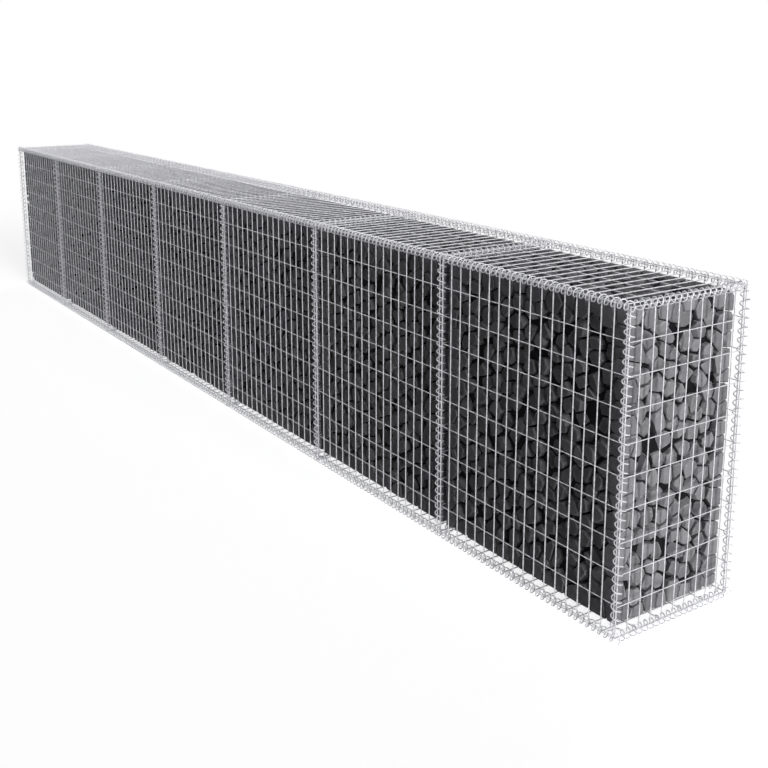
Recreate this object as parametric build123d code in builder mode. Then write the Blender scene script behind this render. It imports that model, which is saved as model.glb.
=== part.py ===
"""Gabion basket of seven laced bays, filled with stone.

Millimetres, +Z up. +X runs along the basket, -Y is the front.
The origin is on the ground, under the middle of the basket.
"""

import os

from build123d import *

# The basket, measured over its mesh. A bay is a seventh of six metres
BAYS = 7
BAY = 857.0
DEPTH = 500.0
HEIGHT = 1000.0
LENGTH = BAYS * BAY

# Welded mesh: bars lie on one side, thinner ties are welded across them
BAR = 4.0
TIE = 3.0
BAR_PITCH = 50.0
TIE_PITCH = 100.0
OVERHANG = 2.0
LAYER = (BAR + TIE) / 2

# Panels along the basket stop short of the bay on both sides, to leave room for the lacing
PANEL_PITCH = 49.5
PANEL_BARS = 18
SIDE_TIES = 11
COVER_TIES = 6
END_BARS = 11
PARTITION_REACH = 240.0
PARTITION_BARS = 9
COVER_STEP = 4.0
END_STEP = 1.5

# Lacing spirals, drawn as the eight-sided sleeves that their turns fill
COIL = 33.0
COIL_SIDES = 8
COIL_WIRE = 3.5
COIL_INSET = 1.7
COIL_STEP = 2.0
COIL_END = LENGTH / 2 - 0.5
COIL_GAP = 1.0

# How far the mouth of a sleeve reaches outwards, past the axis of the spiral
CORNER_MOUTH = 8.0
EDGE_MOUTH = 4.5
CROSS_MOUTH = 4.0
UPRIGHT_MOUTH = 0.5

# Stone fill, one heap in each bay, on a narrower foot
FILL_INSET = 22.0
FILL_TO_PARTITION = 11.0
FILL_UNDERCUT = 100.0

# Heights above the ground
FOOT = COIL / 2 + COIL_STEP
MIDDLE = FOOT + HEIGHT / 2
COVER_TIE_LEVEL = FOOT + HEIGHT + COVER_STEP
BASE_TIE_LEVEL = FOOT - COVER_STEP
FILL_TOP = FOOT + HEIGHT - FILL_INSET
FILL_BOTTOM = FOOT + FILL_INSET
FILL_FLOOR = BASE_TIE_LEVEL + TIE / 2

bay_edges = [-LENGTH / 2 + BAY * i for i in range(BAYS + 1)]
bay_centres = [edge + BAY / 2 for edge in bay_edges[:-1]]

# Axes of the spirals at both ends (side -1 and 1) and at the partitions (side 0)
coil_rows = [(-COIL_END, -1), *[(x, 0) for x in bay_edges[1:-1]], (COIL_END, 1)]


def spaced(count, pitch):
    """Places of a row of wires about its middle."""
    return [(i - (count - 1) / 2) * pitch for i in range(count)]


def welded_mesh(plane, bar_places, bar_length, tie_places, tie_length):
    """A mesh panel. The plane runs through its bars and faces away from the ties."""
    with BuildPart() as panel:
        with BuildSketch(plane.offset(-BAR / 2)):
            with Locations(*[(place, 0) for place in bar_places]):
                Rectangle(BAR, bar_length)
        extrude(amount=BAR)
        with BuildSketch(plane.offset(-LAYER - TIE / 2)):
            with Locations(*[(0, place) for place in tie_places]):
                Rectangle(tie_length, TIE)
        extrude(amount=TIE)
    return panel.part


def lacing_sleeve(plane, length, mouth_x, mouth_y):
    """The space a spiral takes. X and Y of the plane point out of the basket, and the
    mouth that the two meshes come in by reaches from the inside to mouth_x and mouth_y."""
    inside = COIL / 2 - COIL_WIRE
    half_side = 180 / COIL_SIDES
    with BuildPart() as sleeve:
        with BuildSketch(plane.offset(-length / 2)):
            RegularPolygon(COIL / 2, COIL_SIDES, major_radius=False, rotation=half_side)
            RegularPolygon(inside, COIL_SIDES, major_radius=False, rotation=half_side, mode=Mode.SUBTRACT)
            with Locations((mouth_x, mouth_y)):
                Rectangle(COIL * 2, COIL * 2, align=(Align.MAX, Align.MAX), mode=Mode.SUBTRACT)
        extrude(amount=length)
    return sleeve.part


def save(name, *solids):
    """Writes one node, of one solid or of several that stand apart."""
    node = solids[0] if len(solids) == 1 else Compound(children=list(solids))
    node.label = name
    export_step(node, f"parts/{name}.step", write_pcurves=False)


os.makedirs("parts", exist_ok=True)

# Front and back panels: upright bars outside, level ties inside
side_bars = spaced(PANEL_BARS, PANEL_PITCH)
side_ties = spaced(SIDE_TIES, TIE_PITCH)
bar_height = HEIGHT + 2 * OVERHANG
tie_width = (PANEL_BARS - 1) * PANEL_PITCH + 2 * OVERHANG

front_plane = Plane(origin=(0, -DEPTH / 2, MIDDLE), x_dir=(1, 0, 0), z_dir=(0, -1, 0))
back_plane = Plane(origin=(0, DEPTH / 2, MIDDLE), x_dir=(1, 0, 0), z_dir=(0, 1, 0))
front_panel = welded_mesh(front_plane, side_bars, bar_height, side_ties, tie_width)
back_panel = welded_mesh(back_plane, side_bars, bar_height, side_ties, tie_width)

# Covers and base panels: bars outside, from front to back
cover_ties = spaced(COVER_TIES, TIE_PITCH)
bar_depth = DEPTH + 2 * OVERHANG

cover_plane = Plane(origin=(0, 0, COVER_TIE_LEVEL + LAYER), x_dir=(1, 0, 0), z_dir=(0, 0, 1))
base_plane = Plane(origin=(0, 0, BASE_TIE_LEVEL - LAYER), x_dir=(1, 0, 0), z_dir=(0, 0, -1))
cover = welded_mesh(cover_plane, side_bars, bar_depth, cover_ties, tie_width)
base_panel = welded_mesh(base_plane, side_bars, bar_depth, cover_ties, tie_width)

for number, x in enumerate(bay_centres, 1):
    place = Location((x, 0, 0))
    save(f"front_panel_{number}", front_panel.moved(place))
    save(f"back_panel_{number}", back_panel.moved(place))
    save(f"cover_{number}", cover.moved(place))
    save(f"base_panel_{number}", base_panel.moved(place))

# End panels: upright bars inside, level ties outside
end_bars = spaced(END_BARS, BAR_PITCH)

for name, side in (("left", -1), ("right", 1)):
    middle = (side * (LENGTH / 2 + END_STEP), 0, MIDDLE)
    end_plane = Plane(origin=middle, x_dir=(0, 1, 0), z_dir=(-side, 0, 0))
    save(f"end_panel_{name}", welded_mesh(end_plane, end_bars, bar_height, side_ties, bar_depth))

# Partitions between the bays, cut narrow so that they stand inside the front and back
partition_bars = [-PARTITION_REACH, *spaced(PARTITION_BARS, BAR_PITCH), PARTITION_REACH]
partition_width = 2 * (PARTITION_REACH + OVERHANG)
middle_plane = Plane(origin=(-LAYER / 2, 0, MIDDLE), x_dir=(0, 1, 0), z_dir=(-1, 0, 0))
partition = welded_mesh(middle_plane, partition_bars, bar_height, side_ties, partition_width)

for number, x in enumerate(bay_edges[1:-1], 1):
    save(f"partition_{number}", partition.moved(Location((x, 0, 0))))

# Lacing along the four long edges, one spiral a bay
coil_y = DEPTH / 2 - COIL_INSET
coil_top = FOOT + HEIGHT + COIL_STEP
coil_bottom = COIL / 2
corner_reach = COIL_END + COIL / 2


def edge_run(side_y, height, side_z):
    """The spirals of one long edge, from end to end of the basket."""
    cuts = [-corner_reach, *bay_edges[1:-1], corner_reach]
    sleeves = []
    for start, stop in zip(cuts, cuts[1:]):
        run = Plane(
            origin=((start + stop) / 2, side_y * coil_y, height),
            x_dir=(0, side_y, 0),
            z_dir=(side_y * side_z, 0, 0),
        )
        sleeves.append(lacing_sleeve(run, stop - start - COIL_GAP, EDGE_MOUTH, CORNER_MOUTH))
    return sleeves


save("cover_front_spirals", *edge_run(-1, coil_top, 1))
save("cover_back_spirals", *edge_run(1, coil_top, 1))
save("base_front_spirals", *edge_run(-1, coil_bottom, -1))
save("base_back_spirals", *edge_run(1, coil_bottom, -1))

# Lacing up the corners and up the ends of the partitions
upright_length = coil_top - coil_bottom - COIL - 2 * COIL_GAP


def upright_row(side_y):
    """The standing spirals of the front or the back."""
    sleeves = []
    for x, side_x in coil_rows:
        centre = (x, side_y * coil_y, MIDDLE)
        outward = (side_x or 1, 0, 0)
        stand = Plane(origin=centre, x_dir=outward, z_dir=(0, 0, (side_x or 1) * side_y))
        mouth = CORNER_MOUTH if side_x else COIL
        sleeves.append(lacing_sleeve(stand, upright_length, mouth, UPRIGHT_MOUTH))
    return sleeves


save("front_upright_spirals", *upright_row(-1))
save("back_upright_spirals", *upright_row(1))

# Lacing from front to back, across the covers and the base
cross_length = 2 * coil_y - COIL - 2 * COIL_GAP


def cross_row(height, side_z):
    """The spirals that run from front to back."""
    sleeves = []
    for x, side_x in coil_rows:
        centre = (x, 0, height)
        outward = (side_x or 1, 0, 0)
        lie = Plane(origin=centre, x_dir=outward, z_dir=(0, -(side_x or 1) * side_z, 0))
        mouth = CORNER_MOUTH if side_x else COIL
        sleeves.append(lacing_sleeve(lie, cross_length, mouth, CROSS_MOUTH))
    return sleeves


save("cover_cross_spirals", *cross_row(coil_top, 1))
save("base_cross_spirals", *cross_row(coil_bottom, -1))

# Stone heaps, one in each bay, standing on the ties of the base
heaps = []
for number, (start, stop) in enumerate(zip(bay_edges, bay_edges[1:])):
    left = start + (FILL_INSET if number == 0 else FILL_TO_PARTITION)
    right = stop - (FILL_INSET if number == BAYS - 1 else FILL_TO_PARTITION)
    width = right - left
    depth = DEPTH - 2 * FILL_INSET
    with BuildPart() as heap:
        with BuildSketch(Plane.XY.offset(FILL_FLOOR)):
            with Locations(((left + right) / 2, 0)):
                Rectangle(width - 2 * FILL_UNDERCUT, depth - 2 * FILL_UNDERCUT)
        extrude(amount=FILL_BOTTOM - FILL_FLOOR)
        with BuildSketch(Plane.XY.offset(FILL_BOTTOM)):
            with Locations(((left + right) / 2, 0)):
                Rectangle(width, depth)
        extrude(amount=FILL_TOP - FILL_BOTTOM)
    heaps.append(heap.part)
save("stone_fill", *heaps)
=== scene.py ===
import itertools
import math

import bpy
import numpy as np
from bpy.props import FloatProperty, FloatVectorProperty, IntProperty, PointerProperty
from mathutils import Matrix, Vector, noise


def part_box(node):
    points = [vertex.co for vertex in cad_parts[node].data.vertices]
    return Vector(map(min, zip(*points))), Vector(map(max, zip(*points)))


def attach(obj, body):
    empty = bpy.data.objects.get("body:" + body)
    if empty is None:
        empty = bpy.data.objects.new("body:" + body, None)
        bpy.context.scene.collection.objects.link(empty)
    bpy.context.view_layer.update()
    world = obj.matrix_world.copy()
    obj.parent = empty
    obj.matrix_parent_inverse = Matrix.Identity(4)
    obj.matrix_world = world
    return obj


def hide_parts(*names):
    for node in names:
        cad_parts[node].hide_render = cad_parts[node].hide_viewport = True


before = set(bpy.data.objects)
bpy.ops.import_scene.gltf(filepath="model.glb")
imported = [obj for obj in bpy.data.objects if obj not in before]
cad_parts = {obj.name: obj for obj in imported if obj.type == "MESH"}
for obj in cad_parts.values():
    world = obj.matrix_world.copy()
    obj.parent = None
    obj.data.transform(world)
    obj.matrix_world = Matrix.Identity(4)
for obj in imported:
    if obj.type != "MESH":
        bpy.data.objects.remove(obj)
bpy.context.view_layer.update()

bl_info = {
    "name": "Gabion basket",
    "version": (1, 0, 0),
    "blender": (4, 5, 0),
    "location": "View3D > Sidebar > Gabion",
    "description": "Dresses a laced welded-mesh gabion basket with round wire, spirals and broken stone",
    "category": "Object",
}

BODY = "root"
MM = 0.001

# The camera, fitted to the corners and joints of the basket
CAMERA_PLACE = (4.9498, -2.3868, 1.6967)
CAMERA_AIM = (-0.81116, 0.54886, -0.20192)
CAMERA_LENS = 49.35
CAMERA_SENSOR = 36.0
CAMERA_SHIFT_Y = -0.1458

# Where the suns stand and how wide they are in degrees. The key grazes past the front, which
# stays in shade, and the fill keeps the back from black
KEY_FROM = (0.90, -0.05, 0.15)
KEY_ANGLE = 24
FILL_FROM = (-0.45, 0.88, 0.10)
FILL_ANGLE = 30

# The grey of the ground for the light that it sends back to the basket
GROUND_SHADE = "#505050"

# Patches in the zinc. Beads of zinc are drawn about twice as coarse as they are, so that they
# show from close by
MESH_SPANGLE = 9 * MM
SPIRAL_SPANGLE = 7 * MM
ZINC_BEAD = 1.1 * MM

# The finest speckle in the stone, and its mottling and pits in speckles
STONE_GRAIN = 2.2 * MM
MOTTLE_GRAINS = 9
PIT_GRAINS = 3

# Panels by name: the way its row of bars runs, the way a bar runs, and the way it faces
PANEL_KINDS = {
    "front_panel": ((1, 0, 0), (0, 0, 1), (0, -1, 0)),
    "back_panel": ((1, 0, 0), (0, 0, 1), (0, 1, 0)),
    "cover": ((1, 0, 0), (0, 1, 0), (0, 0, 1)),
    "base_panel": ((1, 0, 0), (0, 1, 0), (0, 0, -1)),
    "end_panel_left": ((0, 1, 0), (0, 0, 1), (1, 0, 0)),
    "end_panel_right": ((0, 1, 0), (0, 0, 1), (-1, 0, 0)),
    "partition": ((0, 1, 0), (0, 0, 1), (-1, 0, 0)),
}

# The colour sockets of a Mix node share their names with its other kinds, so they go by number
COLOUR_A = 6
COLOUR_B = 7
MIXED_COLOUR = 2


def linear(hex_colour):
    """An sRGB hex colour as linear red, green and blue."""
    channels = [int(hex_colour[i : i + 2], 16) / 255 for i in (1, 3, 5)]
    return tuple(c / 12.92 if c <= 0.04045 else ((c + 0.055) / 1.055) ** 2.4 for c in channels)


def add_node(tree, kind, inputs=None, **settings):
    """A node with its settings, its socket values and the links into it."""
    node = tree.nodes.new(kind)
    for name, value in settings.items():
        setattr(node, name, value)
    for socket, value in (inputs or {}).items():
        if isinstance(value, bpy.types.NodeSocket):
            tree.links.new(value, node.inputs[socket])
        else:
            node.inputs[socket].default_value = value
    return node


def new_material(name):
    """An empty node material and its tree."""
    material = bpy.data.materials.new(name)
    material.use_nodes = True
    material.node_tree.nodes.clear()
    return material, material.node_tree


def ramp_stops(node, stops):
    """Sets the stops of a colour ramp from (place, linear colour) pairs."""
    elements = node.color_ramp.elements
    while len(elements) < len(stops):
        elements.new(1.0)
    for element, (place, colour) in zip(elements, stops):
        element.position = place
        element.color = (*colour, 1.0)


def zinc_wire(name, colour, dull_colour, spangle):
    """Zinc coating on drawn steel wire. It gives the eye a soft silver sheen that dulls to grey in
    patches, too rough for a mirror image. Spangle is the size of the patches in metres."""
    material, tree = new_material(name)
    place = add_node(tree, "ShaderNodeTexCoord")
    bloom = add_node(
        tree, "ShaderNodeTexNoise", {"Vector": place.outputs["Object"], "Scale": 1 / spangle, "Detail": 3.0}
    )
    spread = add_node(
        tree, "ShaderNodeMapRange", {"Value": bloom.outputs["Fac"], "From Min": 0.35, "From Max": 0.7}
    )
    tint = add_node(
        tree,
        "ShaderNodeMix",
        {"Factor": spread.outputs["Result"], COLOUR_A: (*colour, 1), COLOUR_B: (*dull_colour, 1)},
        data_type="RGBA",
    )
    rough = add_node(
        tree,
        "ShaderNodeMapRange",
        {"Value": bloom.outputs["Fac"], "From Min": 0.3, "From Max": 0.7, "To Min": 0.6, "To Max": 0.8},
    )
    metal = add_node(
        tree,
        "ShaderNodeMapRange",
        {"Value": spread.outputs["Result"], "To Min": 0.95, "To Max": 0.7},
    )
    beads = add_node(
        tree, "ShaderNodeTexNoise", {"Vector": place.outputs["Object"], "Scale": 1 / ZINC_BEAD, "Detail": 2.0}
    )
    bump = add_node(
        tree, "ShaderNodeBump", {"Height": beads.outputs["Fac"], "Strength": 0.15, "Distance": 0.2 * MM}
    )
    shader = add_node(
        tree,
        "ShaderNodeBsdfPrincipled",
        {
            "Base Color": tint.outputs[MIXED_COLOUR],
            "Roughness": rough.outputs["Result"],
            "Normal": bump.outputs["Normal"],
            "Metallic": metal.outputs["Result"],
        },
    )
    add_node(tree, "ShaderNodeOutputMaterial", {"Surface": shader.outputs["BSDF"]})
    return material


def broken_stone(name, deep_shade, dark, light, rim_dust_and_highlight, grain):
    """Crushed basalt. It gives the eye a matt, mottled grey that differs from stone to stone, and
    paler worn edges, partly dust and partly a painted highlight where light would catch them. Its
    darkest colour is painted shade, near-black, which the core behind the stones takes in place of
    the shade in the gaps. Grain is the size of its finest speckle in metres."""
    material, tree = new_material(name)
    place = add_node(tree, "ShaderNodeTexCoord")
    own = add_node(tree, "ShaderNodeAttribute", attribute_name="tone")
    edge = add_node(tree, "ShaderNodeAttribute", attribute_name="rim_dust_and_highlight")
    mottle = add_node(
        tree,
        "ShaderNodeTexNoise",
        {"Vector": place.outputs["Object"], "Scale": 1 / (grain * MOTTLE_GRAINS), "Detail": 5.0},
    )
    speckle = add_node(
        tree, "ShaderNodeTexNoise", {"Vector": place.outputs["Object"], "Scale": 1 / grain, "Detail": 3.0}
    )
    part = add_node(
        tree,
        "ShaderNodeMath",
        {0: mottle.outputs["Fac"], 1: 0.9, 2: own.outputs["Fac"]},
        operation="MULTIPLY_ADD",
    )
    mixed = add_node(
        tree,
        "ShaderNodeMath",
        {0: speckle.outputs["Fac"], 1: 0.6, 2: part.outputs["Value"]},
        operation="MULTIPLY_ADD",
    )
    spread = add_node(
        tree,
        "ShaderNodeMapRange",
        {"Value": mixed.outputs["Value"], "From Min": 0.5, "From Max": 1.9},
    )
    colour = add_node(tree, "ShaderNodeValToRGB", {"Fac": spread.outputs["Result"]})
    # The lowest stop is painted shade: only the core's tone reaches it, and its near-black stands for the
    # shade in the gaps between stones
    ramp_stops(colour, [(0.0, deep_shade), (0.15, dark), (1.0, light)])
    # Worn edges go paler in patches: partly dust and partly a painted highlight where light would catch the
    # edges
    dust = add_node(
        tree,
        "ShaderNodeMapRange",
        {"Value": mottle.outputs["Fac"], "From Min": 0.3, "From Max": 0.65, "To Max": 0.7},
    )
    worn = add_node(
        tree, "ShaderNodeMath", {0: dust.outputs["Result"], 1: edge.outputs["Fac"]}, operation="MULTIPLY"
    )
    dust_and_highlight_colour = add_node(
        tree,
        "ShaderNodeMix",
        {"Factor": worn.outputs["Value"], COLOUR_A: colour.outputs["Color"], COLOUR_B: (*rim_dust_and_highlight, 1)},
        data_type="RGBA",
    )
    pits = add_node(
        tree,
        "ShaderNodeTexNoise",
        {"Vector": place.outputs["Object"], "Scale": 1 / (grain * PIT_GRAINS), "Detail": 6.0},
    )
    bump = add_node(
        tree, "ShaderNodeBump", {"Height": pits.outputs["Fac"], "Strength": 0.6, "Distance": 3 * MM}
    )
    shader = add_node(
        tree,
        "ShaderNodeBsdfPrincipled",
        {
            "Base Color": dust_and_highlight_colour.outputs[MIXED_COLOUR],
            "Normal": bump.outputs["Normal"],
            "Roughness": 0.86,
            "Specular IOR Level": 0.12,
        },
    )
    add_node(tree, "ShaderNodeOutputMaterial", {"Surface": shader.outputs["BSDF"]})
    return material


def seen_outright(tree):
    """A value that is one for what the camera or a reflection sees, and zero for other light."""
    path = add_node(tree, "ShaderNodeLightPath")
    seen = add_node(
        tree,
        "ShaderNodeMath",
        {0: path.outputs["Is Camera Ray"], 1: path.outputs["Is Glossy Ray"]},
        operation="MAXIMUM",
    )
    return seen.outputs["Value"]


def pale_ground(shade, lift):
    """A matt sheet that gives the eye an even white, and lights the basket as a dull grey one would."""
    material, tree = new_material("Pale ground")
    dim = add_node(tree, "ShaderNodeBsdfDiffuse", {"Color": (*shade, 1)})
    matt = add_node(tree, "ShaderNodeBsdfDiffuse", {"Color": (1, 1, 1, 1)})
    lit = add_node(tree, "ShaderNodeEmission", {"Strength": lift})
    pale = add_node(tree, "ShaderNodeAddShader", {0: matt.outputs["BSDF"], 1: lit.outputs["Emission"]})
    mixed = add_node(
        tree,
        "ShaderNodeMixShader",
        {0: seen_outright(tree), 1: dim.outputs["BSDF"], 2: pale.outputs["Shader"]},
    )
    add_node(tree, "ShaderNodeOutputMaterial", {"Surface": mixed.outputs["Shader"]})
    return material


def studio_world(strength):
    """A world that is white to the eye, and lights the basket weakly from all round."""
    world = bpy.data.worlds.new("Studio")
    world.use_nodes = True
    tree = world.node_tree
    tree.nodes.clear()
    soft = add_node(tree, "ShaderNodeBackground", {"Color": (1, 1, 1, 1), "Strength": strength})
    white = add_node(tree, "ShaderNodeBackground", {"Color": (1, 1, 1, 1), "Strength": 1.0})
    mixed = add_node(
        tree,
        "ShaderNodeMixShader",
        {0: seen_outright(tree), 1: soft.outputs["Background"], 2: white.outputs["Background"]},
    )
    add_node(tree, "ShaderNodeOutputWorld", {"Surface": mixed.outputs["Shader"]})
    return world


def new_tree(name, sockets):
    """A Geometry Nodes tree with named inputs, given as (name, socket kind) pairs."""
    tree = bpy.data.node_groups.new(name, "GeometryNodeTree")
    tree.interface.new_socket("Geometry", in_out="INPUT", socket_type="NodeSocketGeometry")
    tree.interface.new_socket("Geometry", in_out="OUTPUT", socket_type="NodeSocketGeometry")
    for socket, kind in sockets:
        tree.interface.new_socket(socket, in_out="INPUT", socket_type="NodeSocket" + kind)
    return tree


def made_mesh(tree, source, values, name):
    """Runs a tree on a mesh with the given inputs and hands back the finished mesh."""
    holder = bpy.data.objects.new(name + "_maker", source)
    bpy.context.scene.collection.objects.link(holder)
    modifier = holder.modifiers.new(tree.name, "NODES")
    modifier.node_group = tree
    for item in tree.interface.items_tree:
        if item.in_out == "INPUT" and item.name in values:
            modifier[item.identifier] = values[item.name]
    finished = holder.evaluated_get(bpy.context.evaluated_depsgraph_get())
    mesh = bpy.data.meshes.new_from_object(finished)
    bpy.data.objects.remove(holder)
    bpy.data.meshes.remove(source)
    mesh.name = name
    return mesh


def add_piece(name, mesh, nodes):
    """An object that rides on the basket and stands for CAD nodes, which it hides. Its finish comes with its
    mesh.
    """
    piece = bpy.data.objects.new(name, mesh)
    bpy.context.scene.collection.objects.link(piece)
    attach(piece, BODY)
    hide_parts(*nodes)


def round_wire(tree, curve, diameter, sides):
    """A capped wire along a curve, as a geometry socket."""
    radius = add_node(tree, "ShaderNodeMath", {0: diameter, 1: 0.5}, operation="MULTIPLY")
    circle = add_node(
        tree, "GeometryNodeCurvePrimitiveCircle", {"Resolution": sides, "Radius": radius.outputs["Value"]}
    )
    wire = add_node(
        tree,
        "GeometryNodeCurveToMesh",
        {"Curve": curve, "Profile Curve": circle.outputs["Curve"], "Fill Caps": True},
    )
    return wire.outputs["Mesh"]


def hand_out(tree, wires, material):
    """Ends a tree with its wires, in their finish. Their long faces, which have four corners, are
    shaded smooth, and their cut ends stay flat."""
    real = add_node(tree, "GeometryNodeRealizeInstances", {"Geometry": wires})
    neighbours = add_node(tree, "GeometryNodeInputMeshFaceNeighbors")
    long_faces = add_node(
        tree,
        "FunctionNodeCompare",
        {2: neighbours.outputs["Vertex Count"], 3: 4},
        data_type="INT",
        operation="EQUAL",
    )
    shaded = add_node(
        tree,
        "GeometryNodeSetShadeSmooth",
        {"Geometry": real.outputs["Geometry"], "Shade Smooth": long_faces.outputs["Result"]},
    )
    finished = add_node(
        tree, "GeometryNodeSetMaterial", {"Geometry": shaded.outputs["Geometry"], "Material": material}
    )
    add_node(tree, "NodeGroupOutput", {"Geometry": finished.outputs["Geometry"]})


def mesh_panel_tree():
    """Welded mesh: a row of bars along Y, spread along X, and a column of ties along X behind them."""
    tree = new_tree(
        "Welded mesh panel",
        [
            ("Bars", "Int"),
            ("Bar Pitch", "Float"),
            ("Bar Reach", "Float"),
            ("Bar Length", "Float"),
            ("Bar Diameter", "Float"),
            ("Ties", "Int"),
            ("Tie Pitch", "Float"),
            ("Tie Length", "Float"),
            ("Tie Diameter", "Float"),
            ("Tie Level", "Float"),
            ("Sides", "Int"),
            ("Material", "Material"),
        ],
    )
    given = add_node(tree, "NodeGroupInput").outputs
    layers = []
    for kind, along in (("Bar", 0), ("Tie", 1)):
        count = given[kind + "s"]
        pitch = given[kind + " Pitch"]
        last = add_node(tree, "ShaderNodeMath", {0: count, 1: 1.0}, operation="SUBTRACT")
        middle = add_node(tree, "ShaderNodeMath", {0: last.outputs["Value"], 1: -0.5}, operation="MULTIPLY")
        first = add_node(tree, "ShaderNodeMath", {0: middle.outputs["Value"], 1: pitch}, operation="MULTIPLY")
        half = add_node(tree, "ShaderNodeMath", {0: given[kind + " Length"], 1: 0.5}, operation="MULTIPLY")
        back = add_node(tree, "ShaderNodeMath", {0: half.outputs["Value"], 1: -1.0}, operation="MULTIPLY")
        begin = add_node(tree, "ShaderNodeCombineXYZ", {along: first.outputs["Value"]})
        step = add_node(tree, "ShaderNodeCombineXYZ", {along: pitch})
        low = add_node(tree, "ShaderNodeCombineXYZ", {1 - along: back.outputs["Value"]})
        high = add_node(tree, "ShaderNodeCombineXYZ", {1 - along: half.outputs["Value"]})
        if kind == "Tie":
            tree.links.new(given["Tie Level"], begin.inputs["Z"])
        row = add_node(
            tree,
            "GeometryNodeMeshLine",
            {"Count": count, "Start Location": begin.outputs["Vector"], "Offset": step.outputs["Vector"]},
        )
        places = row.outputs["Mesh"]
        if kind == "Bar":
            # The outermost bars of a narrow panel stand closer than the pitch
            spot = add_node(tree, "GeometryNodeInputPosition")
            parts = add_node(tree, "ShaderNodeSeparateXYZ", {"Vector": spot.outputs["Position"]})
            least = add_node(tree, "ShaderNodeMath", {0: given["Bar Reach"], 1: -1.0}, operation="MULTIPLY")
            kept = add_node(
                tree,
                "ShaderNodeClamp",
                {"Value": parts.outputs["X"], "Min": least.outputs["Value"], "Max": given["Bar Reach"]},
            )
            moved = add_node(tree, "ShaderNodeCombineXYZ", {"X": kept.outputs["Result"]})
            held = add_node(
                tree, "GeometryNodeSetPosition", {"Geometry": places, "Position": moved.outputs["Vector"]}
            )
            places = held.outputs["Geometry"]
        line = add_node(
            tree,
            "GeometryNodeCurvePrimitiveLine",
            {"Start": low.outputs["Vector"], "End": high.outputs["Vector"]},
        )
        wire = round_wire(tree, line.outputs["Curve"], given[kind + " Diameter"], given["Sides"])
        copies = add_node(tree, "GeometryNodeInstanceOnPoints", {"Points": places, "Instance": wire})
        layers.append(copies.outputs["Instances"])
    joined = add_node(tree, "GeometryNodeJoinGeometry")
    for layer in layers:
        tree.links.new(layer, joined.inputs["Geometry"])
    hand_out(tree, joined.outputs["Geometry"], given["Material"])
    return tree


def spiral_tree():
    """Lacing spirals round straight axes: each edge of the mesh is an axis, with the directions
    out and side stored on its ends, and the distance along the basket that sets the turn."""
    tree = new_tree(
        "Lacing spiral",
        [
            ("Pitch", "Float"),
            ("Radius", "Float"),
            ("Wire Diameter", "Float"),
            ("Steps per Turn", "Int"),
            ("Sides", "Int"),
            ("Start Angle", "Float"),
            ("Material", "Material"),
        ],
    )
    given = add_node(tree, "NodeGroupInput").outputs
    axes = add_node(tree, "GeometryNodeMeshToCurve", {"Mesh": given["Geometry"]})
    step = add_node(
        tree, "ShaderNodeMath", {0: given["Pitch"], 1: given["Steps per Turn"]}, operation="DIVIDE"
    )
    fine = add_node(
        tree,
        "GeometryNodeResampleCurve",
        {"Curve": axes.outputs["Curve"], "Length": step.outputs["Value"]},
        mode="LENGTH",
    )
    along = add_node(tree, "GeometryNodeInputNamedAttribute", {"Name": "along"}, data_type="FLOAT")
    turns = add_node(
        tree, "ShaderNodeMath", {0: along.outputs["Attribute"], 1: given["Pitch"]}, operation="DIVIDE"
    )
    angle = add_node(
        tree,
        "ShaderNodeMath",
        {0: turns.outputs["Value"], 1: math.tau, 2: given["Start Angle"]},
        operation="MULTIPLY_ADD",
    )
    swing = add_node(tree, "ShaderNodeVectorMath", operation="ADD")
    for number, (direction, wave) in enumerate((("out", "COSINE"), ("side", "SINE"))):
        way = add_node(
            tree, "GeometryNodeInputNamedAttribute", {"Name": direction}, data_type="FLOAT_VECTOR"
        )
        share = add_node(tree, "ShaderNodeMath", {0: angle.outputs["Value"]}, operation=wave)
        part = add_node(
            tree,
            "ShaderNodeVectorMath",
            {0: way.outputs["Attribute"], "Scale": share.outputs["Value"]},
            operation="SCALE",
        )
        tree.links.new(part.outputs["Vector"], swing.inputs[number])
    offset = add_node(
        tree,
        "ShaderNodeVectorMath",
        {0: swing.outputs["Vector"], "Scale": given["Radius"]},
        operation="SCALE",
    )
    coil = add_node(
        tree,
        "GeometryNodeSetPosition",
        {"Geometry": fine.outputs["Curve"], "Offset": offset.outputs["Vector"]},
    )
    wire = round_wire(tree, coil.outputs["Geometry"], given["Wire Diameter"], given["Sides"])
    hand_out(tree, wire, given["Material"])
    return tree


def axis_mesh(name, axes):
    """Straight spiral axes as edges. Each is (start, end, out, side, zero), where zero is the
    distance from the start at which the turn begins."""
    mesh = bpy.data.meshes.new(name)
    corners = [point for start, end, *_ in axes for point in (start, end)]
    mesh.from_pydata(corners, [(2 * i, 2 * i + 1) for i in range(len(axes))], [])
    outs, sides, alongs = [], [], []
    for start, end, out, side, zero in axes:
        length = (Vector(end) - Vector(start)).length
        for distance in (-zero, length - zero):
            outs.extend(out)
            sides.extend(side)
            alongs.append(distance)
    for field, kind, key, values in (
        ("out", "FLOAT_VECTOR", "vector", outs),
        ("side", "FLOAT_VECTOR", "vector", sides),
        ("along", "FLOAT", "value", alongs),
    ):
        mesh.attributes.new(field, kind, "POINT").data.foreach_set(key, values)
    return mesh


def bay_lines():
    """Where the bays meet along X, with the axes of the corner spirals first and last."""
    radius = bpy.context.scene.gabion_spirals.coil_diameter / 2
    low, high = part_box("front_upright_spirals")
    middles = []
    for name in sorted(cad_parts):
        if name.startswith("partition_"):
            near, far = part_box(name)
            middles.append((near.x + far.x) / 2)
    return [low.x + radius, *middles, high.x - radius]


def bay_centres():
    """The middle of each bay along X."""
    names = sorted(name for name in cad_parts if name.startswith("front_panel_"))
    return [sum(corner.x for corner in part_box(name)) / 2 for name in names]


def size_setting(name, description, default):
    """A size in metres that the user can change."""
    return FloatProperty(name=name, description=description, default=default, unit="LENGTH")


def colour_setting(name, description, default):
    """A colour that the user can change, with its default in hex."""
    return FloatVectorProperty(name=name, description=description, default=linear(default), subtype="COLOR")


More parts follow.
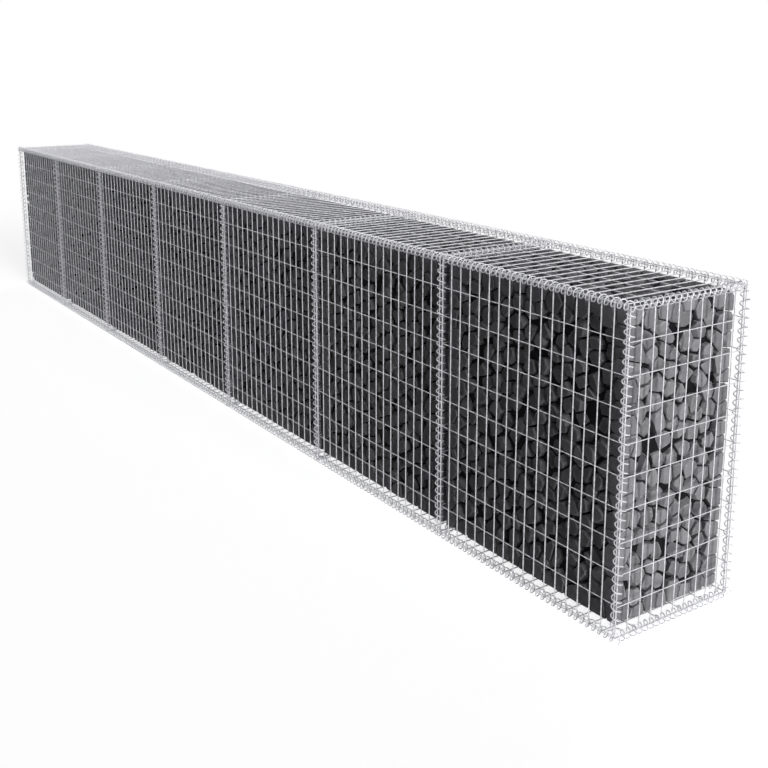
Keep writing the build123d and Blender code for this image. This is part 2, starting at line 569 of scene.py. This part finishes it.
class GabionWireSettings(bpy.types.PropertyGroup):
    """Sizes and colours of the welded mesh"""

    bar_diameter: size_setting("Bar diameter", "Wire of the bars", 4 * MM)
    tie_diameter: size_setting("Tie diameter", "Wire of the ties", 3 * MM)
    weld_depth: size_setting("Weld depth", "How far a tie is pressed into a bar", 0.4 * MM)
    panel_pitch: size_setting("Panel pitch", "Between the bars of a panel along the basket", 49.5 * MM)
    end_pitch: size_setting("End pitch", "Between the bars of an end panel or a partition", 50 * MM)
    tie_pitch: size_setting("Tie pitch", "Between ties", 100 * MM)
    sides: IntProperty(name="Sides", description="Facets round a wire", default=8, min=3)
    zinc: colour_setting("Zinc", "Bright zinc", "#E6E6E9")
    dull_zinc: colour_setting("Dull zinc", "Weathered zinc", "#CECED2")


class GabionSpiralSettings(bpy.types.PropertyGroup):
    """Sizes of the lacing spirals"""

    coil_diameter: size_setting("Coil diameter", "Outside of the turns", 33 * MM)
    wire_diameter: size_setting("Wire diameter", "Wire of the spirals", 4 * MM)
    upright_pitch: size_setting("Upright pitch", "Pitch of the standing spirals", 1 / 35)
    edge_pitch: size_setting("Edge pitch", "Pitch along the long edges", 24.75 * MM)
    cross_pitch: size_setting("Cross pitch", "Pitch from front to back", 25 * MM)
    steps: IntProperty(name="Steps per turn", description="Segments in one turn", default=12, min=6)
    sides: IntProperty(name="Sides", description="Facets round the wire", default=6, min=3)


class GabionStoneSettings(bpy.types.PropertyGroup):
    """Sizes and colours of the stone fill"""

    size: size_setting("Size", "Typical width of a stone", 55 * MM)
    tallness: FloatProperty(name="Tallness", description="Height over width of a stone", default=1.04)
    gap: size_setting("Gap", "Between neighbouring stones", 6.5 * MM)
    wear: size_setting("Wear", "Width of the worn edges", 4 * MM)
    unevenness: FloatProperty(name="Unevenness", description="Tilt of the outer faces", default=0.05)
    sunk: FloatVectorProperty(
        name="Sunk",
        description="The least and the most that a sunk stone lies back",
        size=2,
        default=(5 * MM, 15 * MM),
        unit="LENGTH",
    )
    sunk_share: FloatProperty(name="Sunk share", description="How many stones are sunk", default=0.25)
    missing_share: FloatProperty(
        name="Missing share", description="How many stones leave a hole", default=0.005
    )
    heaped: size_setting("Heaped", "How far the stones rise above a level fill", 9 * MM)
    core_depth: size_setting("Core depth", "From the stones' faces to the core", 22 * MM)
    seed: IntProperty(name="Seed", description="Picks another heap", default=11, min=0)
    # Painted shade: the near-black that the core behind the stones takes, standing for the shade in the gaps
    # between them
    deep_shade: colour_setting("Deep", "Rock behind the stones", "#1D1D1F")
    dark: colour_setting("Dark", "Darkest stone", "#78787B")
    light: colour_setting("Light", "Palest stone", "#A9A8AB")
    # Partly dust and partly a painted highlight where light would catch the worn edges
    rim_dust_and_highlight: colour_setting("Rim", "Dusty worn edge", "#B9B8BA")


class GabionStageSettings(bpy.types.PropertyGroup):
    """Light and ground"""

    key_strength: FloatProperty(name="Key", description="Strength of the key light", default=2.65, min=0)
    fill_strength: FloatProperty(
        name="Fill", description="Strength of the light on the back", default=1.0, min=0
    )
    sky_strength: FloatProperty(
        name="Sky", description="Strength of the light from all round", default=0.033, min=0
    )
    floor_lift: FloatProperty(name="Floor lift", description="Keeps the ground white", default=0.8, min=0)
    floor_size: size_setting("Floor", "Width of the ground", 120.0)


class GABION_OT_welded_mesh(bpy.types.Operator):
    """Makes every panel and partition from round welded wire"""

    bl_idname = "gabion.welded_mesh"
    bl_label = "Welded mesh"

    def execute(self, context):
        wires = context.scene.gabion_wires
        tree = mesh_panel_tree()
        zinc = zinc_wire("Zinc-coated mesh wire", wires.zinc, wires.dull_zinc, MESH_SPANGLE)
        for node in sorted(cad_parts):
            kind = next((k for k in PANEL_KINDS if node.startswith(k)), None)
            if kind is None or "spirals" in node:
                continue
            row, bar, face = (Vector(v) for v in PANEL_KINDS[kind])
            low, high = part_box(node)
            centre = (low + high) / 2
            size = high - low
            width = abs(size.dot(row))
            length = abs(size.dot(bar))
            pitch = wires.panel_pitch if row.x else wires.end_pitch
            reach = (width - wires.bar_diameter) / 2
            thick = abs(size.dot(face))
            # The last bars of a narrow panel stand closer, so the count is rounded up
            values = {
                "Bars": math.ceil(round(2 * reach / pitch, 3)) + 1,
                "Bar Pitch": pitch,
                "Bar Reach": reach,
                "Bar Length": length,
                "Bar Diameter": wires.bar_diameter,
                "Ties": round((length - wires.bar_diameter) / wires.tie_pitch) + 1,
                "Tie Pitch": wires.tie_pitch,
                "Tie Length": width,
                "Tie Diameter": wires.tie_diameter,
                "Tie Level": wires.weld_depth - (wires.bar_diameter + wires.tie_diameter) / 2,
                "Sides": wires.sides,
                "Material": zinc,
            }
            mesh = made_mesh(tree, bpy.data.meshes.new(node), values, node + "_wire")
            origin = centre + face * (thick - wires.bar_diameter) / 2
            turn = Matrix((row, face.cross(row), face)).transposed().to_4x4()
            mesh.transform(Matrix.Translation(origin) @ turn)
            add_piece(node + "_wire", mesh, [node])
        return {"FINISHED"}


# How far each kind of spiral has turned at the middle of its run, in degrees. At these its wire
# passes between the ties and bars that it laces
UPRIGHT_TURN = 45
CROSS_TURN = 30
EDGE_TURN = 0


class GABION_OT_spirals(bpy.types.Operator):
    """Winds the lacing spirals along every edge and joint"""

    bl_idname = "gabion.spirals"
    bl_label = "Lacing spirals"

    def execute(self, context):
        coils = context.scene.gabion_spirals
        wires = context.scene.gabion_wires
        tree = spiral_tree()
        zinc = zinc_wire("Zinc-coated spiral wire", wires.zinc, wires.dull_zinc, SPIRAL_SPANGLE)
        radius = coils.coil_diameter / 2
        lap = coils.wire_diameter / 2
        lines = bay_lines()
        centres = bay_centres()
        middle_z = sum(corner.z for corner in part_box("front_panel_1")) / 2
        for node in sorted(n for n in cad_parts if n.endswith("_spirals")):
            low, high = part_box(node)
            front = -1 if "front" in node else 1
            top = 1 if node.startswith("cover") else -1
            axes = []
            if "upright" in node:
                y = low.y + radius if front < 0 else high.y - radius
                pitch = coils.upright_pitch
                turn = UPRIGHT_TURN
                for x in lines:
                    out = Vector((0, front, 0))
                    ends = (x, y, low.z + lap), (x, y, high.z - lap)
                    axes.append((*ends, out, out.cross((0, 0, 1)), middle_z - low.z - lap))
            elif "cross" in node:
                z = high.z - radius if top > 0 else low.z + radius
                pitch = coils.cross_pitch
                turn = CROSS_TURN
                for x in lines:
                    out = Vector((0, 0, top))
                    ends = (x, low.y + lap, z), (x, high.y - lap, z)
                    axes.append((*ends, out, out.cross((0, 1, 0)), -low.y - lap))
            else:
                y = low.y + radius if front < 0 else high.y - radius
                z = high.z - radius if top > 0 else low.z + radius
                pitch = coils.edge_pitch
                turn = EDGE_TURN
                cuts = [low.x, *lines[1:-1], high.x]
                for start, end, centre in zip(cuts, cuts[1:], centres):
                    out = Vector((0, front, top)).normalized()
                    ends = (start + lap, y, z), (end - lap, y, z)
                    axes.append((*ends, out, out.cross((1, 0, 0)), centre - start - lap))
            values = {
                "Pitch": pitch,
                "Radius": radius - lap,
                "Wire Diameter": coils.wire_diameter,
                "Steps per Turn": coils.steps,
                "Sides": coils.sides,
                "Start Angle": math.radians(turn),
                "Material": zinc,
            }
            mesh = made_mesh(tree, axis_mesh(node, axes), values, node + "_wire")
            add_piece(node + "_wire", mesh, [node])
        return {"FINISHED"}


# How the stones lie: stagger and jitter in steps of their grid, the share of both that is left in
# the outer layers, and how stones differ in size and tone
STAGGER = (0.15, 0.15, 0.22)
JITTER = 0.25
OUTER_SHARE = 0.6
SIZE_SPREAD = (0.8, 1.25)
TONES = (0.2, 1.0)

# How a stone is cut, with starts and reaches as fractions of its size. The sides that it shares
# with neighbours stand about halfway to them. Their slant is cut to these shares where they meet
# the outside of the heap, on a face and along an edge, and gaps are narrower along an edge
NEIGHBOURS = 18
SHARED_SIDES = 10
FACE_SLANT = 0.3
EDGE_SLANT = 0.7
EDGE_GAP = 0.5

# Its face lies flush or is sunk, and has shoulders round it. Their slope is how far they run
# across for each step down. Along an edge the face is more even and has no shoulders
FLUSH_WITHIN = 0.03
EDGE_EVENNESS = 0.3
SHOULDERS = 4
SHOULDER_START = (0.28, 0.46)
SHOULDER_SLOPE = (0.5, 1.1)

# Breaks of its own run mostly square to its face, and lie further out on a stone along an edge.
# Along the top it has broken corners too. Their slope is how far they drop for each step across
BREAKS = 4
BREAK_LEAN = 0.2
BREAK_REACH = (0.43, 0.58)
EDGE_REACH = 0.2
CORNER_REACH = 0.55
CORNER_SLOPE = (0.7, 1.4)

# A stone closer to a side of the heap than this many sizes is cut off there
SIDE_WITHIN = 1.2

# At most this many planes cut a stone. Each of their threes may meet in a corner
MOST_SIDES = 22
TRIPLES = {n: np.array(list(itertools.combinations(range(n), 3))) for n in range(4, MOST_SIDES + 1)}

# Planes that span less than this meet too flatly for a corner, and a corner may lie this many
# metres outside a plane by rounding
LEAST_SPAN = 0.004
ROUNDING = 1e-7

# Corners of a stone closer than this fraction of its size become one. Where that leaves the
# stone open, the next is tried, and then the same with a break or two less
MERGES = (0.12, 0.06, 0.03, 0.001)

# A worn edge takes at most this share of the way to the middle of a face
MOST_WEAR = 0.42


def stone_centres(low, high, size, rng):
    """Staggered rows of jittered points that fill a box. Also says for each axis whether a point
    is in the layer at the low side (-1), at the high side (1) or between them (0)."""
    count = np.maximum(1, np.round((high - low) / size)).astype(int)
    step = (high - low) / count
    index = np.stack(np.meshgrid(*[np.arange(n) for n in count], indexing="ij"), -1).reshape(-1, 3)
    parity = 1 - 2 * (index % 2)
    stagger = np.array(STAGGER) * parity[:, [1, 2, 0]] * parity[:, [2, 0, 1]]
    layer = (index == count - 1).astype(int) - (index == 0)
    jitter = rng.uniform(-JITTER, JITTER, index.shape)
    spread = (stagger + jitter) * np.where(layer != 0, OUTER_SHARE, 1.0)
    return low + (index + 0.5 + spread) * step, layer


def unit(vectors):
    """Vectors of length one, row by row."""
    return vectors / np.linalg.norm(vectors, axis=-1, keepdims=True)


def planes_through(normals, points):
    """Rows of a unit normal and a distance, for planes through points."""
    return np.column_stack([normals, (normals * points).sum(axis=1)])


def stone_planes(centres, layers, weights, near, which, low, high, settings, rng):
    """The flat sides that cut one stone: about halfway to its neighbours, its face on each side of
    the heap that it lies at, shoulders round that face, the sides of the heap that it comes close
    to, broken corners along the top and breaks of its own."""
    here = centres[which]
    layer = layers[which]
    size = settings.size
    at_edge = (layer != 0).sum() > 1
    apart = centres[near] - here
    share = weights[which] / (weights[which] + weights[near])
    same_side = (layers[near] == layer) & (layer != 0)
    slant = np.where(same_side.sum(axis=1, keepdims=True) > 1, EDGE_SLANT, FACE_SLANT)
    normals = unit(np.where(same_side, slant, 1.0) * apart)
    reach = (normals * apart).sum(axis=1) * share - settings.gap / 2 * (EDGE_GAP if at_edge else 1)
    closest = np.argsort(reach)[:SHARED_SIDES]
    rows = [planes_through(normals[closest], here + normals[closest] * reach[closest, None])]
    outside = np.where(layer > 0, high, low)
    for axis in np.nonzero(layer)[0]:
        flat = np.zeros(3)
        flat[axis] = layer[axis]
        tilt = settings.unevenness * (EDGE_EVENNESS if at_edge else 1)
        face = unit(flat + rng.normal(0, tilt, 3))
        lean = math.sqrt(max(0, 1 - (face @ flat) ** 2))
        # A sunk stone lies back in the real shade of its neighbours
        deep_shade = rng.random() < settings.sunk_share
        sunk = rng.uniform(*settings.sunk) if deep_shade else rng.uniform(0, FLUSH_WITHIN) * size
        middle = here.copy()
        middle[axis] = outside[axis]
        # Back by half the rise of the leaning face too, which keeps it inside the heap
        middle -= flat * (0.5 * lean * size + (0 if at_edge else sunk))
        rows.append(planes_through(face[None], middle[None]))
        if not at_edge:
            across = rng.normal(0, 1, (SHOULDERS, 3))
            across[:, axis] = 0
            across = unit(across)
            slope = rng.uniform(*SHOULDER_SLOPE, (SHOULDERS, 1))
            start = middle + across * rng.uniform(*SHOULDER_START, (SHOULDERS, 1)) * size
            rows.append(planes_through(unit(across + flat * slope), start))
    for axis in np.nonzero(layer == 0)[0]:
        for bound, sign in ((low, -1), (high, 1)):
            if (bound[axis] - here[axis]) * sign < SIDE_WITHIN * size:
                flat = np.zeros(3)
                flat[axis] = sign
                rows.append(np.array([[*flat, sign * bound[axis]]]))
    if at_edge and layer[2] > 0 and layer[1] < 1:
        # Not the row along the back, which keeps its straight outline
        for along, sign in itertools.product(np.nonzero(layer == 0)[0], (-1, 1)):
            corner = np.array([[0, 0, 1.0]])
            corner[0, along] = sign * rng.uniform(*CORNER_SLOPE)
            corner = unit(corner)
            rows.append(planes_through(corner, here + corner * CORNER_REACH * size))
    breaks = unit(rng.normal(0, 1, (BREAKS, 3)) * np.where(layer != 0, BREAK_LEAN, 1.0))
    tall = np.linalg.norm(breaks * [1, 1, settings.tallness], axis=1)
    reach = (rng.uniform(*BREAK_REACH, BREAKS) * tall + (EDGE_REACH if at_edge else 0)) * size
    rows.append(planes_through(breaks, here + breaks * reach[:, None]))
    return np.concatenate(rows)[:MOST_SIDES]


def solid_between(planes, merge):
    """Corners and faces of the solid that the planes leave, with corners closer than merge made one."""
    triples = TRIPLES[len(planes)]
    normals = planes[triples, :3]
    sound = np.abs(np.linalg.det(normals)) > LEAST_SPAN
    triples = triples[sound]
    points = np.linalg.solve(normals[sound], planes[triples, 3][..., None])[..., 0]
    inside = (points @ planes[:, :3].T <= planes[:, 3] + ROUNDING).all(axis=1)
    points = points[inside]
    triples = triples[inside]
    group = np.arange(len(points))
    for i in range(len(points)):
        if group[i] == i:
            close = np.linalg.norm(points - points[i], axis=1) < merge
            group[close & (group == np.arange(len(points)))] = i
    kept = np.unique(group)
    corners = np.array([points[group == g].mean(axis=0) for g in kept])
    number = {g: n for n, g in enumerate(kept)}
    faces = []
    for side in range(len(planes)):
        on_side = np.nonzero((triples == side).any(axis=1))[0]
        if len(on_side) < 3:
            continue
        normal = planes[side, :3]
        # Two directions in the side, by way of any that isn't along its normal
        across = np.cross(normal, (0.577, 0.577, 0.577) if abs(normal[0]) > 0.9 else (1.0, 0, 0))
        up = np.cross(normal, across)
        flat = points[on_side] - points[on_side].mean(axis=0)
        order = np.argsort(np.arctan2(flat @ up, flat @ across))
        ring = [number[group[on_side[o]]] for o in order]
        ring = [v for i, v in enumerate(ring) if v != ring[i - 1]]
        if len(set(ring)) >= 3 and len(set(ring)) == len(ring):
            faces.append(ring)
    return corners, faces


def closed(faces):
    """Whether every edge of the faces is met once from each side."""
    edges = {(a, b) for ring in faces for a, b in zip(ring, ring[1:] + ring[:1])}
    return len(edges) == sum(len(ring) for ring in faces) and all((b, a) in edges for a, b in edges)


def worn(corners, faces, wear):
    """The same solid with every edge and corner worn to a narrow flat. Returns corners, faces and
    which of the faces are worn ones."""
    points = []
    own = {}
    for f, ring in enumerate(faces):
        middle = corners[ring].mean(axis=0)
        for v in ring:
            inward = middle - corners[v]
            reach = np.linalg.norm(inward)
            own[f, v] = len(points)
            points.append(corners[v] + inward * min(MOST_WEAR, wear / reach))
    beside = {}
    for f, ring in enumerate(faces):
        for a, b in zip(ring, ring[1:] + ring[:1]):
            beside[a, b] = f
    flats = [[own[f, v] for v in ring] for f, ring in enumerate(faces)]
    rims = []
    following = {}
    for (a, b), f in beside.items():
        g = beside[b, a]
        following[a, g] = f
        if a < b:
            rims.append([own[f, b], own[f, a], own[g, a], own[g, b]])
    done = set()
    for a, start in list(following):
        if (a, start) in done:
            continue
        ring = []
        face = start
        while (a, face) not in done:
            done.add((a, face))
            ring.append(own[face, a])
            face = following[a, face]
        if len(ring) > 2:
            rims.append(ring)
    return points, flats + rims, [0.0] * len(flats) + [1.0] * len(rims)


def heap_of_stones(low, high, open_sides, settings, seed):
    """The stones that show on the open sides of a box, as corners, faces, and a rim and tone for
    each face. Open sides are (axis, sign) pairs."""
    rng = np.random.default_rng(seed)
    size = settings.size * np.array([1, 1, settings.tallness])
    centres, layers = stone_centres(low, high, size, rng)
    # No stone along an edge is missing
    whole = (rng.random(len(centres)) > settings.missing_share) | ((layers != 0).sum(axis=1) > 1)
    centres, layers = centres[whole], layers[whole]
    weights = rng.uniform(*SIZE_SPREAD, len(centres))
    squared = (centres**2).sum(axis=1)
    apart = squared[:, None] + squared[None] - 2 * centres @ centres.T
    nearest = np.argsort(apart, axis=1)[:, 1 : NEIGHBOURS + 1]
    shown = np.zeros(len(centres), bool)
    for axis, sign in open_sides:
        shown |= layers[:, axis] == sign
    points, faces, rims, tones = [], [], [], []
    for which in np.nonzero(shown)[0]:
        near = nearest[which]
        planes = stone_planes(centres, layers, weights, near, which, low, high, settings, rng)
        tone = rng.uniform(*TONES)
        for cuts, merge in itertools.product((planes, planes[:-1], planes[:-2]), MERGES):
            corners, rings = solid_between(cuts, merge * settings.size)
            if closed(rings):
                break
        else:
            raise RuntimeError(f"Stone {which} of heap {seed} could not be closed")
        stone, made, rim_dust_and_highlight = worn(np.clip(corners, low, high), rings, settings.wear)
        start = len(points)
        points.extend(stone)
        faces.extend([start + v for v in ring] for ring in made)
        rims.extend(rim_dust_and_highlight)
        tones.extend([tone] * len(made))
    return points, faces, rims, tones


# Sets the seeds of the feet apart from those of the heaps
FOOT_SEED = 50

# The core behind the stones, a block of painted shade that stands for the shade in the gaps: the
# size of its lumps and the waves of noise in each, how far they stand out, a tone so far below that
# of the stones that it takes the near-black painted shade colour, and its depth at a partition as a
# share of that at an open side
CORE_LUMP = 32 * MM
CORE_WAVES = 0.9
CORE_ROUGHNESS = 7 * MM
PAINTED_SHADE_TONE = -2.0
CORE_AT_PARTITION = 0.3


def painted_shade_core(low, high, seed):
    """A closed block of small lumps behind the stones, whose near-black is painted shade for the gaps
    between them, as corners, faces, and a worn-edge value and tone for each face."""
    count = np.maximum(1, np.round((high - low) / CORE_LUMP)).astype(int)
    number = {}
    points, faces = [], []
    # Without its own seed the noise differs from run to run
    noise.seed_set(seed)

    def corner(i, j, k):
        if (i, j, k) not in number:
            place = low + (high - low) * np.array([i, j, k]) / count
            shift = noise.noise_vector(Vector(place / CORE_LUMP * CORE_WAVES))
            number[i, j, k] = len(points)
            points.append(place + np.array(shift) * CORE_ROUGHNESS)
        return number[i, j, k]

    for axis in range(3):
        first, second = (axis + 1) % 3, (axis + 2) % 3
        for level in (0, count[axis]):
            for a in range(count[first]):
                for b in range(count[second]):
                    ring = []
                    for da, db in ((0, 0), (1, 0), (1, 1), (0, 1)):
                        spot = [0, 0, 0]
                        spot[axis], spot[first], spot[second] = level, a + da, b + db
                        ring.append(corner(*spot))
                    faces.append(ring if level else ring[::-1])
    return points, faces, [0.0] * len(faces), [PAINTED_SHADE_TONE] * len(faces)


def heap_boxes():
    """The low and high corner of each bay's heap, and of the foot under it, from the CAD heaps."""
    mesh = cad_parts["stone_fill"].data
    corners = np.array([v.co for v in mesh.vertices])
    lines = bay_lines()
    boxes = []
    for left, right in zip(lines, lines[1:]):
        own = corners[(corners[:, 0] > left) & (corners[:, 0] < right)]
        low, high = own.min(axis=0), own.max(axis=0)
        foot = own[own[:, 2] < low[2] + MM]
        shoulder = own[np.abs(own[:, 1] - low[1]) < MM][:, 2].min()
        foot_box = (foot.min(axis=0), np.array([*foot.max(axis=0)[:2], shoulder]))
        boxes.append(((np.array([*low[:2], shoulder]), high), foot_box))
    return boxes


class GABION_OT_stones(bpy.types.Operator):
    """Fills every bay with a heap of broken stones"""

    bl_idname = "gabion.stones"
    bl_label = "Stone fill"

    def execute(self, context):
        settings = context.scene.gabion_stones
        stone = broken_stone(
            "Crushed basalt", settings.deep_shade, settings.dark, settings.light, settings.rim_dust_and_highlight, STONE_GRAIN
        )
        boxes = heap_boxes()
        for number, ((low, high), (foot_low, foot_high)) in enumerate(boxes, 1):
            high = high + np.array([0, 0, settings.heaped])
            open_sides = [(1, -1), (1, 1), (2, -1), (2, 1)]
            if number == 1:
                open_sides.append((0, -1))
            if number == len(boxes):
                open_sides.append((0, 1))
            inset = np.full((2, 3), settings.core_depth)
            if number > 1:
                inset[0, 0] *= CORE_AT_PARTITION
            if number < len(boxes):
                inset[1, 0] *= CORE_AT_PARTITION
            seed = settings.seed + number
            points, faces, rims, tones = [], [], [], []
            for part_points, part_faces, part_rims, part_tones in (
                heap_of_stones(low, high, open_sides, settings, seed),
                heap_of_stones(foot_low, foot_high, open_sides, settings, seed + FOOT_SEED),
                painted_shade_core(low + inset[0], high - inset[1], number),
            ):
                start = len(points)
                points.extend(part_points)
                faces.extend([start + v for v in ring] for ring in part_faces)
                rims.extend(part_rims)
                tones.extend(part_tones)
            mesh = bpy.data.meshes.new(f"stones_{number}")
            mesh.from_pydata([tuple(p) for p in points], [], faces)
            mesh.validate()
            # The worn-edge value carries the dust and painted highlight, and the tone carries the core's
            # painted shade
            for name, values in (("rim_dust_and_highlight", rims), ("tone", tones)):
                layer = mesh.attributes.new(name, "FLOAT", "FACE")
                layer.data.foreach_set("value", np.array(values, np.float32))
            mesh.polygons.foreach_set("use_smooth", np.array(rims, bool))
            mesh.materials.append(stone)
            add_piece(f"stones_{number}", mesh, ["stone_fill"])
        return {"FINISHED"}


class GABION_OT_stage(bpy.types.Operator):
    """Sets the ground, the light and the camera"""

    bl_idname = "gabion.stage"
    bl_label = "Stage"

    def execute(self, context):
        settings = context.scene.gabion_stage
        half = settings.floor_size / 2
        ground = bpy.data.meshes.new("ground")
        corners = [(-half, -half, 0), (half, -half, 0), (half, half, 0), (-half, half, 0)]
        ground.from_pydata(corners, [], [(0, 1, 2, 3)])
        floor = bpy.data.objects.new("ground", ground)
        context.scene.collection.objects.link(floor)
        ground.materials.append(pale_ground(linear(GROUND_SHADE), settings.floor_lift))
        context.scene.world = studio_world(settings.sky_strength)

        for name, strength, angle, place in (
            ("key", settings.key_strength, KEY_ANGLE, KEY_FROM),
            ("fill", settings.fill_strength, FILL_ANGLE, FILL_FROM),
        ):
            sun = bpy.data.lights.new(name, "SUN")
            sun.energy = strength
            sun.angle = math.radians(angle)
            lamp = bpy.data.objects.new(name, sun)
            lamp.rotation_euler = Vector(place).to_track_quat("Z", "Y").to_euler()
            context.scene.collection.objects.link(lamp)

        lens = bpy.data.cameras.new("camera")
        lens.lens = CAMERA_LENS
        lens.sensor_width = CAMERA_SENSOR
        lens.shift_y = CAMERA_SHIFT_Y
        camera = bpy.data.objects.new("camera", lens)
        camera.location = CAMERA_PLACE
        camera.rotation_euler = Vector(CAMERA_AIM).to_track_quat("-Z", "Y").to_euler()
        context.scene.collection.objects.link(camera)
        context.scene.camera = camera
        context.scene.view_settings.view_transform = "Standard"
        return {"FINISHED"}


OPERATORS = (
    GABION_OT_stage,
    GABION_OT_welded_mesh,
    GABION_OT_spirals,
    GABION_OT_stones,
)


class GABION_PT_panel(bpy.types.Panel):
    """Lists the steps and the sizes"""

    bl_label = "Gabion basket"
    bl_idname = "GABION_PT_panel"
    bl_space_type = "VIEW_3D"
    bl_region_type = "UI"
    bl_category = "Gabion"

    def draw(self, context):
        for operator in OPERATORS:
            self.layout.operator(operator.bl_idname)
        for name in SETTINGS:
            settings = getattr(context.scene, name)
            box = self.layout.box()
            for field in settings.bl_rna.properties:
                if field.identifier not in {"rna_type", "name"}:
                    box.prop(settings, field.identifier)


SETTINGS = {
    "gabion_wires": GabionWireSettings,
    "gabion_spirals": GabionSpiralSettings,
    "gabion_stones": GabionStoneSettings,
    "gabion_stage": GabionStageSettings,
}


def register():
    for group in SETTINGS.values():
        bpy.utils.register_class(group)
    for operator in OPERATORS:
        bpy.utils.register_class(operator)
    bpy.utils.register_class(GABION_PT_panel)
    for name, group in SETTINGS.items():
        setattr(bpy.types.Scene, name, PointerProperty(type=group))


def unregister():
    for name in SETTINGS:
        delattr(bpy.types.Scene, name)
    bpy.utils.unregister_class(GABION_PT_panel)
    for operator in reversed(OPERATORS):
        bpy.utils.unregister_class(operator)
    for group in reversed(list(SETTINGS.values())):
        bpy.utils.unregister_class(group)


def main():
    register()
    bpy.ops.gabion.stage()
    bpy.ops.gabion.welded_mesh()
    bpy.ops.gabion.spirals()
    bpy.ops.gabion.stones()


if __name__ == "__main__":
    main()
